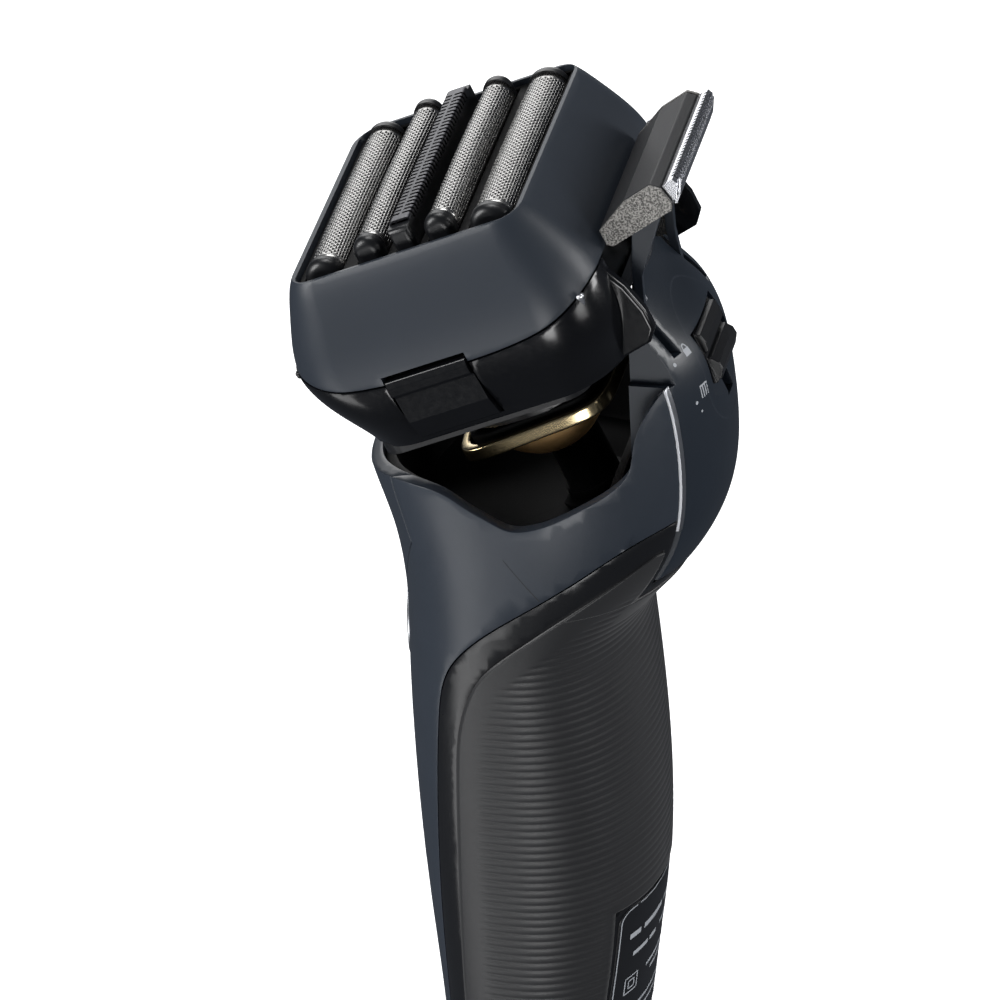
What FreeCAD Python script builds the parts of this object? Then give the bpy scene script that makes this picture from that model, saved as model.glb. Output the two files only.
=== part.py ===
"""Cordless five-element foil shaver with a swivelling head and a pop-up trimmer.

Units are millimetres. The frame sits at the centre of the base: +Z runs up the handle, the power
button faces -Y, the trimmer and its slider face +Y, and X runs along the foils. The head has a frame
of its own, tipped forward about X at the neck, and everything that rides on the head is drawn there.
"""
import FreeCAD, Part
import math
import os

V = FreeCAD.Vector
os.makedirs("parts", exist_ok=True)

# ---------------------------------------------------------------- driving sizes: handle
WALL = 2.0                  # moulded wall of the handle shells
SEAM = 0.15                 # gap at the parting lines
FIT = 0.3                   # clearance round pieces that move
RUN = 0.05                  # radial clearance of a pin in its bore
BASE_CAP_TOP = 5.0
PANEL_HALF = 15.6           # half width of the rear panel
PANEL_FRONT = 20.5          # front plane of the rear panel's channel
PANEL_LOW = 100.0
PANEL_TOP = 148.8
STRIP = 0.8                 # width of the bright strips beside the rear panel
GRIP_SKIN = 1.2             # rubber thickness
GRIP_PROUD = 0.35           # the rubber stands out of the shell by this much
FRONT_POWER = 2.5           # superellipse exponent of the handle's front half
REAR_POWER = 2.1            # and of its rear half

# Handle stations: height, half width, front Y, widest Y, back Y
HANDLE = [
    (0.0, 15.6, -12.2, 0.0, 11.6),
    (1.6, 17.6, -13.8, 0.0, 13.4),
    (6.0, 19.4, -15.0, 0.0, 15.0),
    (16.0, 20.8, -15.7, 0.2, 16.6),
    (40.0, 22.6, -17.2, 0.6, 19.8),
    (65.0, 23.6, -18.0, 0.8, 19.9),
    (80.0, 24.2, -17.9, 1.0, 18.8),
    (90.0, 25.0, -17.6, 1.6, 20.0),
    (98.0, 25.9, -17.9, 2.6, 26.6),
    (107.0, 26.8, -19.4, 3.6, 31.8),
    (118.0, 27.3, -22.7, 4.4, 33.2),
    (128.0, 27.0, -22.6, 4.8, 32.5),
    (139.0, 26.0, -22.4, 5.0, 28.3),
    (152.0, 24.5, -21.6, 5.0, 22.4),
]
# Lower edge of the front shell, seen from the side: Y, Z
SPLIT = [(-12.0, -2.0), (-12.4, 25.0), (-11.4, 60.0), (-10.2, 75.0), (-8.0, 85.0), (-3.4, 91.6),
         (7.0, 100.0), (15.0, 105.6), (22.0, 109.8), (31.5, 112.0), (45.0, 113.0)]
# Top edge of the handle, seen from the side: Y, Z
SADDLE = [(-45.0, 112.5), (-23.5, 114.0), (-17.0, 118.0), (-10.0, 119.4), (-6.0, 118.9),
          (-3.2, 117.4), (0.6, 115.4), (3.8, 114.0), (6.6, 114.2), (14.0, 117.4), (19.0, 120.2),
          (21.2, 122.4), (22.0, 125.8), (22.5, 128.6), (23.8, 131.4), (26.8, 134.6), (30.0, 135.6),
          (45.0, 136.0)]

# ---------------------------------------------------------------- driving sizes: neck and head
NECK_Y = 3.8
NECK_Z = 125.0
TILT = 23.5                 # forward lean of the head at rest, degrees
WELL_FLOOR = 105.0
WELL_REAR = 19.2
COVER_WALL = 1.6
# Head stations, up the head axis: height, half width, front, back, corner radius
COVER = [
    (17.0, 28.6, 24.4, 25.4, 10.0),
    (21.0, 28.9, 25.6, 25.5, 10.0),
    (25.0, 28.5, 25.4, 25.2, 9.5),
    (29.5, 27.4, 23.9, 23.8, 8.5),
    (34.0, 25.9, 21.9, 21.6, 6.8),
    (37.6, 24.2, 19.6, 19.4, 4.6),
]
SKIRT = [
    (7.5, 25.2, 20.6, 22.0, 9.5),
    (12.0, 27.0, 22.2, 23.8, 10.0),
    (17.0, 28.6, 24.2, 25.2, 10.0),
    (21.0, 28.9, 25.6, 25.5, 10.0),
    (26.0, 28.5, 25.3, 25.2, 9.5),
]
EDGE_LOW = 19.6             # the cover's lower edge at the ends of the head
EDGE_RISE = 5.2             # and how much higher it is at front and back
EDGE_REACH = 27.0
OPEN_X = 23.6               # opening in the cover for the cassette
OPEN_Y = 18.7
SKIRT_WALL = 1.8
SKIRT_REAR = 16.6           # the skirt is open behind this, between its wings
WING_IN = 17.0
WING_OUT = 18.6

# Cutting elements, front to back: name, Y, outer radius, top height
FOILS = [
    ("finish_foil_front", -14.2, 3.1, 39.2),
    ("narrow_foil_front", -5.9, 2.35, 40.5),
    ("narrow_foil_rear", 6.1, 2.35, 40.5),
    ("wide_foil_rear", 13.9, 3.4, 39.3),
]
COMB_Y = 0.2
COMB_HALF = 1.75
COMB_TOP = 41.0
SHEET = 0.3                 # foil sheet
FOIL_HALF = 20.0            # half length of the foils
CAP_END = 22.3
FOIL_LEG = 3.2              # straight part of a foil below its arch
BLADE_HALF = 17.0
BLADE_GAP = 0.2
BLADE_BOTTOM = 31.0
STROKE = 1.0                # half stroke of the inner blades
FRAME_LOW = 32.6
FRAME_TOP = 36.8
DECK_LOW = 20.2
DECK_TOP = 22.0
TUB_LOW = 6.0
TUB_X = 23.6
TUB_FRONT = -19.0
TUB_REAR = 16.0
TUB_WALL = 1.5
BRIDGE_LOW = 27.6
BRIDGE_TOP = 29.6
PIN_Y = 10.2
PIN_R = 1.3
BUTTON_Y = -3.4             # centre of the release buttons
BUTTON_HALF = 6.7
BUTTON_LOW = 8.8
BUTTON_HIGH = 20.3
RING_X = 14.2               # half sizes of the bright ring
RING_Y = 13.2
RING_TOP = -1.0
RING_LOW = -3.3
RING_DIP = 3.5              # the ring's front is lower than its rear, degrees
ROCKER_R = 10.8
ROCKER_HALF = 13.0

# ---------------------------------------------------------------- driving sizes: trimmer and controls
TRIM_HALF = 14.3            # half length of the trimmer's body
TRIM_PLATE = 0.6
ARM_IN = 10.9               # the trimmer's arms, each side
ARM_OUT = 12.1
PANEL_NARROW = 14.4         # half width of the rear panel between the head's wings
PANEL_STEP = 134.0
SLOT_LOW = 137.4            # lower end of the slots the arms run in
CHANNEL_OPEN = 122.0        # the rear panel's channel is open in front above this
KNOB_Y = 29.5
KNOB_Z = 133.4
KNOB_HALF = 5.5
KNOB_LEAN = 23.0
KNOB_TRAVEL = 7.0
LABEL_HALF = 15.8
LABEL_LOW = 10.0
LABEL_HIGH = 38.6
BUTTON_Z = 84.0
BUTTON_R = 7.6
WINDOW_LOW = 40.0
WINDOW_HIGH = 66.0
WINDOW_HALF = 5.6
CELL_R = 7.1
CELL_LOW = 22.0
CELL_LEN = 50.0
SOCKET_X = 9.6              # charging inlet, across and along
SOCKET_Y = 5.6
SOCKET_DEEP = 9.0
SOCKET_AT = 6.0             # the inlet sits behind the centre of the base

NODES = {}
tilt = FreeCAD.Placement(V(0, NECK_Y, NECK_Z), FreeCAD.Rotation(V(1, 0, 0), TILT))


# ---------------------------------------------------------------- helpers
def box(x0, x1, y0, y1, z0, z1):
    return Part.makeBox(x1 - x0, y1 - y0, z1 - z0, V(x0, y0, z0))


def rod(r, start, direction, length):
    return Part.makeCylinder(r, length, V(*start), V(*direction))


def to_head(shape):
    """Carries a shape from the head's own frame into the shaver's."""
    moved = shape.copy()
    moved.Placement = tilt.multiply(moved.Placement)
    return moved


def mirrored(shape):
    return shape.mirror(V(0, 0, 0), V(1, 0, 0))


def curve(points):
    spline = Part.BSplineCurve()
    spline.interpolate([V(*p) for p in points])
    return spline.toShape()


def side_region(points, corners, half=60.0):
    """Solid with one smooth side edge through points (Y, Z), closed by straight lines through corners."""
    edge = curve([(-half, y, z) for y, z in points])
    ring = [V(-half, y, z) for y, z in [points[-1]] + corners + [points[0]]]
    lines = [Part.makeLine(a, b) for a, b in zip(ring, ring[1:])]
    return Part.Face(Part.Wire([edge] + lines)).extrude(V(2 * half, 0, 0))


def region_under(points, low=-10.0):
    """Everything below a line that runs from front to back."""
    return side_region(points, [(points[-1][0], low), (points[0][0], low)])


def region_ahead(points, front=-60.0, top=200.0):
    """Everything in front of and above a line that climbs from the base to the back."""
    return side_region(points, [(points[-1][0], top), (front, top), (front, points[0][1])])


def handle_outline(station, offset=0.0, count=28):
    """Superellipse ring: one exponent ahead of the widest line, another behind it."""
    z, half, front, middle, back = station
    points = []
    for i in range(count):
        angle = 2 * math.pi * i / count
        c, s = math.cos(angle), math.sin(angle)
        power = REAR_POWER if s >= 0 else FRONT_POWER
        depth = (back - middle if s >= 0 else middle - front) + offset
        x = math.copysign(abs(c) ** (2 / power), c) * (half + offset)
        points.append(V(x, middle + math.copysign(abs(s) ** (2 / power), s) * depth, z))
    ring = Part.BSplineCurve()
    ring.interpolate(points, PeriodicFlag=True)
    return Part.Wire([ring.toShape()])


def handle_solid(offset=0.0):
    return Part.makeLoft([handle_outline(s, offset) for s in HANDLE], True, False)


def rounded_ring(half, front, back, radius, z):
    """Rounded rectangle, lines and arcs, at height z."""
    x, y0, y1, r = half, -front, back, radius
    k = r * (1 - math.sqrt(0.5))
    edges = [
        Part.makeLine(V(-x + r, y0, z), V(x - r, y0, z)),
        Part.Arc(V(x - r, y0, z), V(x - k, y0 + k, z), V(x, y0 + r, z)).toShape(),
        Part.makeLine(V(x, y0 + r, z), V(x, y1 - r, z)),
        Part.Arc(V(x, y1 - r, z), V(x - k, y1 - k, z), V(x - r, y1, z)).toShape(),
        Part.makeLine(V(x - r, y1, z), V(-x + r, y1, z)),
        Part.Arc(V(-x + r, y1, z), V(-x + k, y1 - k, z), V(-x, y1 - r, z)).toShape(),
        Part.makeLine(V(-x, y1 - r, z), V(-x, y0 + r, z)),
        Part.Arc(V(-x, y0 + r, z), V(-x + k, y0 + k, z), V(-x + r, y0, z)).toShape(),
    ]
    return Part.Wire(edges)


def head_loft(stations, inset=0.0):
    rings = [rounded_ring(h - inset, f - inset, b - inset, r - inset * 0.6, z) for z, h, f, b, r in stations]
    return Part.makeLoft(rings, True, False)


def slab(half, front, back, radius, z0, z1):
    """Plate with rounded corners between two heights."""
    return Part.Face(rounded_ring(half, front, back, radius, z0)).extrude(V(0, 0, z1 - z0))


def oval(half_x, half_y, power, z, count=24):
    points = []
    for i in range(count):
        c, s = math.cos(2 * math.pi * i / count), math.sin(2 * math.pi * i / count)
        points.append(V(math.copysign(abs(c) ** (2 / power), c) * half_x,
                        math.copysign(abs(s) ** (2 / power), s) * half_y, z))
    ring = Part.BSplineCurve()
    ring.interpolate(points, PeriodicFlag=True)
    return Part.Wire([ring.toShape()])


def oval_slab(half_x, half_y, power, z0, z1):
    return Part.Face(oval(half_x, half_y, power, z0)).extrude(V(0, 0, z1 - z0))


def polygon_x(points, x0, x1):
    """Side outline in Y and Z, extruded along X."""
    ring = [V(x0, y, z) for y, z in points]
    return Part.Face(Part.makePolygon(ring + [ring[0]])).extrude(V(x1 - x0, 0, 0))


def polygon_y(points, y0, y1):
    """End outline in X and Z, extruded along Y."""
    ring = [V(x, y0, z) for x, z in points]
    return Part.Face(Part.makePolygon(ring + [ring[0]])).extrude(V(0, y1 - y0, 0))


def arch_x(y, radius, top, leg, x0, x1):
    """Round-topped bar along X: a half cylinder on straight legs."""
    centre = top - radius
    low = centre - leg
    arc = Part.Arc(V(x0, y - radius, centre), V(x0, y, top), V(x0, y + radius, centre)).toShape()
    lines = [Part.makeLine(V(x0, y + radius, centre), V(x0, y + radius, low)),
             Part.makeLine(V(x0, y + radius, low), V(x0, y - radius, low)),
             Part.makeLine(V(x0, y - radius, low), V(x0, y - radius, centre))]
    return Part.Face(Part.Wire([arc] + lines)).extrude(V(x1 - x0, 0, 0))


def round_edges(shape, radius, wanted):
    edges = [e for e in shape.Edges if wanted(e)]
    return shape.makeFillet(radius, edges) if edges else shape


def node(name, *shapes):
    """Keeps a sub-part: one node, one or more separate solids."""
    NODES[name] = [solid for shape in shapes for solid in shape.Solids]


# ---------------------------------------------------------------- shared handle volumes
handle = handle_solid()
cavity = handle_solid(-WALL)
below_saddle = region_under(SADDLE)
front_side = region_ahead(SPLIT)
front_clear = region_ahead([(y - SEAM, z + SEAM) for y, z in SPLIT])
panel_zone = box(-PANEL_HALF, PANEL_HALF, PANEL_FRONT, 60, PANEL_LOW, 170)
clear_zone = box(-PANEL_HALF - STRIP - SEAM, PANEL_HALF + STRIP + SEAM, PANEL_FRONT - SEAM, 60,
                 PANEL_LOW - SEAM, 170)
above_cap = box(-60, 60, -60, 60, BASE_CAP_TOP + SEAM, 170)


def make_shells():
    """Front shell, rear shell and the rubber grip let into it."""
    walls = handle.cut(cavity).common(below_saddle).common(above_cap).cut(clear_zone)
    bezel_hole = rod(BUTTON_R + 1.6, (0, -40, BUTTON_Z), (0, 1, 0), 32)
    window_hole = box(-WINDOW_HALF - SEAM, WINDOW_HALF + SEAM, -40, -8, WINDOW_LOW - SEAM, WINDOW_HIGH + SEAM)
    front = walls.common(front_clear).cut(bezel_hole).cut(window_hole)
    lip_outline = [(-21.4, 170), (-21.4, 107), (-16, 98), (16, 98), (21.4, 107), (21.4, 170)]
    lip = polygon_y(lip_outline, -60, 0)
    node("front_lip", walls.common(polygon_y([(x * 0.993, z + SEAM) for x, z in lip_outline], -60, 0)))
    node("front_shell", front.cut(lip))
    rear = walls.cut(front_side)
    rim = 3.6
    inner_split = [(y + rim, z - rim * 0.8 if z > 80 else z) for y, z in SPLIT]
    grip_zone = box(-60, 60, -60, 60, 8.0, 112.0).cut(region_ahead(inner_split))
    grip_zone = grip_zone.cut(box(-PANEL_HALF - 2, PANEL_HALF + 2, 15, 60, PANEL_LOW - 3.0, 170))
    proud = handle_solid(GRIP_PROUD)
    sunk = handle_solid(GRIP_PROUD - GRIP_SKIN)
    label = box(-LABEL_HALF, LABEL_HALF, 0, 60, LABEL_LOW, LABEL_HIGH)
    label = round_edges(label, 3.0, lambda e: e.BoundBox.YLength > 10)
    skin = proud.cut(sunk).common(grip_zone).cut(label)
    node("grip_rubber", skin)
    pocket = handle_solid(2.0).cut(sunk).common(grip_zone).cut(label)
    node("rear_shell", rear.cut(pocket))
    margin = 0.9
    plate = box(-LABEL_HALF + margin, LABEL_HALF - margin, 0, 60, LABEL_LOW + margin, LABEL_HIGH - margin)
    plate = round_edges(plate, 2.2, lambda e: e.BoundBox.YLength > 10)
    plate = handle_solid(0.2).cut(handle).common(plate)
    node("rating_plate", plate)


def make_rear_panel():
    """Channel-shaped rear panel with slots for the trimmer's arms, and bright strips along its sides."""
    outer = handle.common(panel_zone).cut(box(-60, 60, 0, 60, PANEL_TOP, 170))
    for side in (-1, 1):
        x0, x1 = sorted((side * PANEL_NARROW, side * 30))
        outer = outer.cut(polygon_y([(x0, PANEL_STEP), (x1, PANEL_STEP), (x1, 170), (x0, 170)], 0, 60))
    side = 1.6
    inside = PANEL_NARROW - side
    room = handle_solid(-WALL).common(box(-inside, inside, 0, 60, PANEL_LOW + 2, 170))
    panel = outer.cut(room.common(box(-60, 60, PANEL_FRONT + side, 60, 0, 170)))
    panel = panel.cut(room.common(box(-60, 60, 0, 60, CHANNEL_OPEN, 170)))
    for side in (-1, 1):
        x0, x1 = sorted((side * (ARM_IN - FIT), side * (ARM_OUT + FIT)))
        panel = panel.cut(box(x0, x1, 0, 60, SLOT_LOW, 170))
    panel = panel.cut(knob_frame(box(-KNOB_HALF - 1.2, KNOB_HALF + 1.2, 0.0, 12.0, -4.9 - KNOB_TRAVEL, 4.9)))
    panel = panel.cut(knob_frame(box(-1.7, 1.7, -8.0, 12.0, -1.9 - KNOB_TRAVEL, 1.9)))
    node("back_panel", panel)
    strip = handle_solid(0.2).cut(handle_solid(-1.0)).common(below_saddle)
    strip = strip.common(box(PANEL_HALF + SEAM, PANEL_HALF + STRIP, PANEL_FRONT + 1, 60, 109.5, 170))
    node("panel_trim_strips", strip, mirrored(strip))


def knob_frame(shape):
    """Places a shape drawn on the slider's sliding plane: Y out of the panel, Z along the travel."""
    moved = shape.copy()
    moved.Placement = FreeCAD.Placement(V(0, KNOB_Y, KNOB_Z), FreeCAD.Rotation(V(1, 0, 0), KNOB_LEAN))
    return moved


def make_controls():
    """Mode slider, power button with its bezel, display window."""
    base = box(-KNOB_HALF - 0.2, KNOB_HALF + 0.2, 0.15, 0.9, -4.5, 4.5)
    ridge_up = polygon_x([(0.9, 0.5), (0.9, 4.1), (1.6, 3.8), (2.0, 2.4), (1.8, 0.9)], -KNOB_HALF, KNOB_HALF)
    ridge_low = polygon_x([(0.9, -4.3), (0.9, -0.1), (1.6, -0.4), (2.5, -1.4), (2.6, -2.6), (1.7, -4.1)],
                          -KNOB_HALF, KNOB_HALF)
    stem = box(-1.4, 1.4, -3.4, 0.15, -1.6, 1.6)
    head = box(-3.2, 3.2, -4.2, -3.4, -1.6, 1.6)
    node("mode_slider", knob_frame(base.fuse([ridge_up, ridge_low, stem, head]).removeSplitter()))
    y_face = -20.0
    body = rod(BUTTON_R, (0, y_face, BUTTON_Z), (0, 1, 0), 4.4)
    body = body.common(handle_solid(0.5))
    body = round_edges(body, 0.3, lambda e: e.BoundBox.YMax < -18 and e.Length > 20)
    flange = rod(BUTTON_R + 0.9, (0, -15.9, BUTTON_Z), (0, 1, 0), 1.0)
    node("power_button", body.fuse(flange).removeSplitter())
    ring = rod(BUTTON_R + 1.45, (0, -30, BUTTON_Z), (0, 1, 0), 13.2).cut(
        rod(BUTTON_R + FIT, (0, -31, BUTTON_Z), (0, 1, 0), 20))
    node("button_bezel", ring.common(handle_solid(0.3)).cut(handle_solid(-1.7)))
    pane = handle_solid(0.1).cut(handle_solid(-1.3)).common(
        box(-WINDOW_HALF, WINDOW_HALF, -40, -5, WINDOW_LOW, WINDOW_HIGH))
    node("display_window", pane)


def make_base():
    """Base cap with the charging inlet, its pins and the two screws that hold it."""
    cap = handle.common(box(-60, 60, -60, 60, 0, BASE_CAP_TOP))
    room = cavity.common(box(-60, 60, -60, 60, 1.8, BASE_CAP_TOP + 1))
    around = 1.2 + SEAM
    socket_hole = slab(SOCKET_X / 2 + around, SOCKET_Y / 2 + around, SOCKET_Y / 2 + around, 3.4, -1, 6)
    socket_hole.translate(V(0, SOCKET_AT, 0))
    posts = [rod(2.2, (x, 0, 1.8), (0, 0, 1), BASE_CAP_TOP - 1.8) for x in (-12.0, 12.0)]
    cap = cap.cut(room).fuse(posts).cut(socket_hole)
    for x in (-12.0, 12.0):
        cap = cap.cut(rod(1.9, (x, 0, -1), (0, 0, 1), 2.2)).cut(rod(0.95, (x, 0, -1), (0, 0, 1), 8))
    node("base_cap", cap)
    screws = []
    for x in (-12.0, 12.0):
        screw = rod(1.75, (x, 0, 0.2), (0, 0, 1), 1.0).fuse(rod(0.9, (x, 0, 1.2), (0, 0, 1), 5.6))
        cross = box(x - 1.1, x + 1.1, -0.22, 0.22, 0, 0.75).fuse(box(x - 0.22, x + 0.22, -1.1, 1.1, 0, 0.75))
        screws.append(screw.cut(cross))
    node("base_screws", *screws)
    block = slab(SOCKET_X / 2 + 1.2, SOCKET_Y / 2 + 1.2, SOCKET_Y / 2 + 1.2, 3.2, 0.4, SOCKET_DEEP + 1.8)
    hollow = slab(SOCKET_X / 2, SOCKET_Y / 2, SOCKET_Y / 2, 2.3, -1, SOCKET_DEEP)
    block.translate(V(0, SOCKET_AT, 0))
    hollow.translate(V(0, SOCKET_AT, 0))
    block = block.cut(hollow)
    pins = [rod(0.8, (x, SOCKET_AT, 4.4), (0, 0, 1), SOCKET_DEEP) for x in (-2.3, 2.3)]
    block = block.cut(pins)
    node("charge_socket", block)
    node("charge_pins", *pins)


def make_electrics():
    """Battery cell, tray and circuit board."""
    tray = box(-9.6, 9.6, -8.6, 10.6, 13.7, 96.0)
    tray = tray.cut(box(-8.2, 8.2, -12, 9.3, 14.6, 94.6))
    tray = tray.cut(box(-12, 12, -4.0, 5.0, 30, 64))
    node("chassis", tray)
    cell = rod(CELL_R, (0, 1.6, CELL_LOW), (0, 0, 1), CELL_LEN)
    knob = rod(2.6, (0, 1.6, CELL_LOW + CELL_LEN), (0, 0, 1), 1.0)
    node("battery_cell", cell.fuse(knob).removeSplitter())
    board = box(-9.4, 9.4, -10.4, -8.8, 15.0, 95.0)
    chips = [box(-5, 0, -11.6, -10.4, 24, 30), box(1, 7, -11.4, -10.4, 22, 27),
             box(-3, 3, -12.0, -10.4, 44, 62), box(-6.5, -2.5, -11.8, -10.4, 70, 74),
             box(-3, 3, -13.6, -10.4, 81, 87)]
    node("main_board", board.fuse(chips).removeSplitter())


def make_neck_well():
    """Bowl in the top of the handle that the neck stands in, and the post with its fork."""
    outer = handle_solid(-WALL - SEAM).common(region_under([(y, z - 1.6) for y, z in SADDLE]))
    outer = outer.common(box(-60, 60, -60, WELL_REAR, WELL_FLOOR - 2.0, 170))
    hollow = handle_solid(-WALL - SEAM - 1.6).common(box(-60, 60, -60, WELL_REAR - 1.6, WELL_FLOOR, 170))
    boss = to_head(rod(6.2, (0, 0, -30.0), (0, 0, 1), 10.4)).common(outer.fuse(hollow))
    boss = boss.common(box(-60, 60, -60, WELL_REAR, WELL_FLOOR - 2.0, 170))
    node("neck_well", outer.cut(hollow).fuse(boss).removeSplitter())
    stem = rod(4.2, (0, 0, -19.5), (0, 0, 1), 13.5)
    foot = rod(4.8, (0, 0, -19.55), (0, 0, 1), 1.4)
    ears = box(3.7, 5.3, -2.4, 2.4, -8.5, 2.4).fuse(box(-5.3, -3.7, -2.4, 2.4, -8.5, 2.4))
    bridge = box(-5.3, 5.3, -2.4, 2.4, -8.5, -6.0)
    fork = stem.fuse([foot, ears, bridge]).cut(rod(1.0 + RUN, (-10, 0, 0), (1, 0, 0), 20))
    node("neck_post", to_head(fork.removeSplitter()))


def make_gimbal():
    """Cross block with pitch and roll pins, and the hub that the head turns on."""
    block = box(-3.3, 3.3, -3.6, 3.6, -2.8, 2.2)
    pitch = [rod(1.0, (x, 0, 0), (1, 0, 0), 4.0) for x in (-5.6, 1.6)]
    roll = [rod(1.0, (0, y, 0), (0, 1, 0), 4.6) for y in (-6.4, 1.8)]
    for pin in pitch + roll:
        block = block.cut(pin)
    node("gimbal_block", to_head(block))
    node("pitch_pins", *[to_head(p) for p in pitch])
    node("roll_pins", *[to_head(p) for p in roll])
    disc = rod(8.4, (0, 0, 3.4), (0, 0, 1), 2.2)
    journal = rod(4.9, (0, 0, 5.6), (0, 0, 1), 2.4)
    ears = box(-2.6, 2.6, 4.2, 6.2, -2.4, 3.4).fuse(box(-2.6, 2.6, -6.2, -4.2, -2.4, 3.4))
    hub = disc.fuse([journal, ears]).cut(rod(1.0 + RUN, (0, -10, 0), (0, 1, 0), 20))
    node("twist_hub", to_head(hub.removeSplitter()))


def make_neck_trim():
    """Bright ring under the head, and the satin rocker below it whose round underside follows the pitch."""
    ring = oval_slab(RING_X, RING_Y, 6.0, RING_LOW, RING_TOP)
    ring = ring.cut(oval_slab(RING_X - 1.5, RING_Y - 1.5, 6.0, RING_LOW - 1, 1.0))
    ring.rotate(V(0, 0, 0), V(1, 0, 0), RING_DIP)
    node("neck_ring", to_head(ring))
    drum = rod(ROCKER_R, (-ROCKER_HALF, 0.9, 1.8), (1, 0, 0), 2 * ROCKER_HALF)
    drum = round_edges(drum, 1.2, lambda e: e.BoundBox.XLength < 0.1)
    drum = drum.cut(rod(ROCKER_R - 1.2, (-ROCKER_HALF + 1.2, 0.9, 1.8), (1, 0, 0), 2 * ROCKER_HALF - 2.4))
    keep = box(-60, 60, -60, 60, -20, RING_LOW - 0.4)
    keep.rotate(V(0, 0, 0), V(1, 0, 0), RING_DIP)
    rim = oval_slab(RING_X - 1.9, RING_Y - 1.9, 6.0, RING_LOW - 0.4, 0.0)
    rim = rim.cut(oval_slab(RING_X - 3.1, RING_Y - 3.1, 6.0, -9.0, 1.0))
    lid = oval_slab(RING_X - 0.8, RING_Y - 0.8, 6.0, RING_LOW - 0.8, RING_LOW)
    lid = lid.cut(rod(ROCKER_R - 1.6, (-30, 0.9, 1.8), (1, 0, 0), 60).common(
        box(-ROCKER_HALF + 1.2, ROCKER_HALF - 1.2, -30, 30, -30, 30)))
    lid.rotate(V(0, 0, 0), V(1, 0, 0), RING_DIP)
    rocker = drum.common(keep).fuse([rim, lid]).cut(rod(7.4, (0, 0, -20), (0, 0, 1), 19.5))
    node("neck_rocker", to_head(rocker.removeSplitter()))


def edge_profile(shift):
    """Arched line of the cover's lower edge, seen from the end of the head."""
    count = 12
    ys = [-40 + 80 * i / count for i in range(count + 1)]
    return [(y, EDGE_LOW + shift + EDGE_RISE * min(abs(y) / EDGE_REACH, 1.15) ** 3) for y in ys]


def make_cover():
    """Outer foil frame cover with its opening and the notches for the release buttons."""
    body = head_loft(COVER).cut(head_loft(COVER[:-1] + [(36.0, 24.9, 20.6, 20.4, 5.4)], COVER_WALL))
    body = body.cut(slab(OPEN_X, OPEN_Y, OPEN_Y, 2.6, 30, 40))
    body = body.cut(region_under(edge_profile(0.0)))
    for side in (-1, 1):
        x0, x1 = sorted((side * 22.0, side * 32.0))
        notch = box(x0, x1, BUTTON_Y - BUTTON_HALF - FIT, BUTTON_Y + BUTTON_HALF + FIT, 10, BUTTON_HIGH + 0.9)
        body = body.cut(notch)
    node("foil_frame_cover", to_head(body))


def make_skirt():
    """Gloss frame below the cover, with a wing each side of the trimmer."""
    shell = head_loft(SKIRT).cut(head_loft([(9.3,) + SKIRT[0][1:]] + SKIRT[1:], SKIRT_WALL))
    shell = shell.common(region_under(edge_profile(-0.35)))
    tub_room = slab(TUB_X + SEAM, -TUB_FRONT + SEAM, TUB_REAR + SEAM, 3.6, 0, 30)
    shell = shell.cut(tub_room)
    shell = shell.cut(box(-WING_IN, WING_IN, SKIRT_REAR, 60, 0, 40))
    outline = [(12.0, 7.6), (22.0, 7.6), (26.6, 8.6), (28.2, 10.6), (28.2, 14.0), (27.0, 18.6),
               (25.2, 22.4), (23.0, 21.6), (12.0, 17.6)]
    wing = polygon_x(outline, WING_IN, WING_OUT)
    wing = round_edges(wing, 0.6, lambda e: abs(e.BoundBox.XMin - WING_OUT) < 0.01 and e.BoundBox.XLength < 0.01)
    inside = head_loft([(5.0,) + SKIRT[0][1:]] + SKIRT, SKIRT_WALL + 0.6)
    wing = wing.cut(inside.common(box(-60, 60, -60, SKIRT_REAR - 1.5, 0, 40))).cut(tub_room)
    shell = shell.fuse([wing, mirrored(wing)])
    for side in (-1, 1):
        x0, x1 = sorted((side * 24.3, side * 32.0))
        shell = shell.cut(box(x0, x1, BUTTON_Y - BUTTON_HALF - FIT, BUTTON_Y + BUTTON_HALF + FIT,
                              BUTTON_LOW - FIT, 30))
    node("head_skirt", to_head(shell.removeSplitter()))


def make_release_buttons():
    """Push buttons at both ends of the head that free the foil frame."""
    outline = [(25.6, BUTTON_LOW), (26.6, BUTTON_LOW), (28.0, 12.4), (28.4, 17.2), (29.4, 17.8), (29.6, 19.2),
               (29.0, BUTTON_HIGH), (25.6, BUTTON_HIGH)]
    body = polygon_y(outline, BUTTON_Y - BUTTON_HALF, BUTTON_Y + BUTTON_HALF)
    body = body.makeFillet(0.4, [e for e in body.Edges if e.BoundBox.XMin > 26.5 and e.BoundBox.YLength > 5])
    node("release_button_right", to_head(body))
    node("release_button_left", to_head(mirrored(body)))


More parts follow.
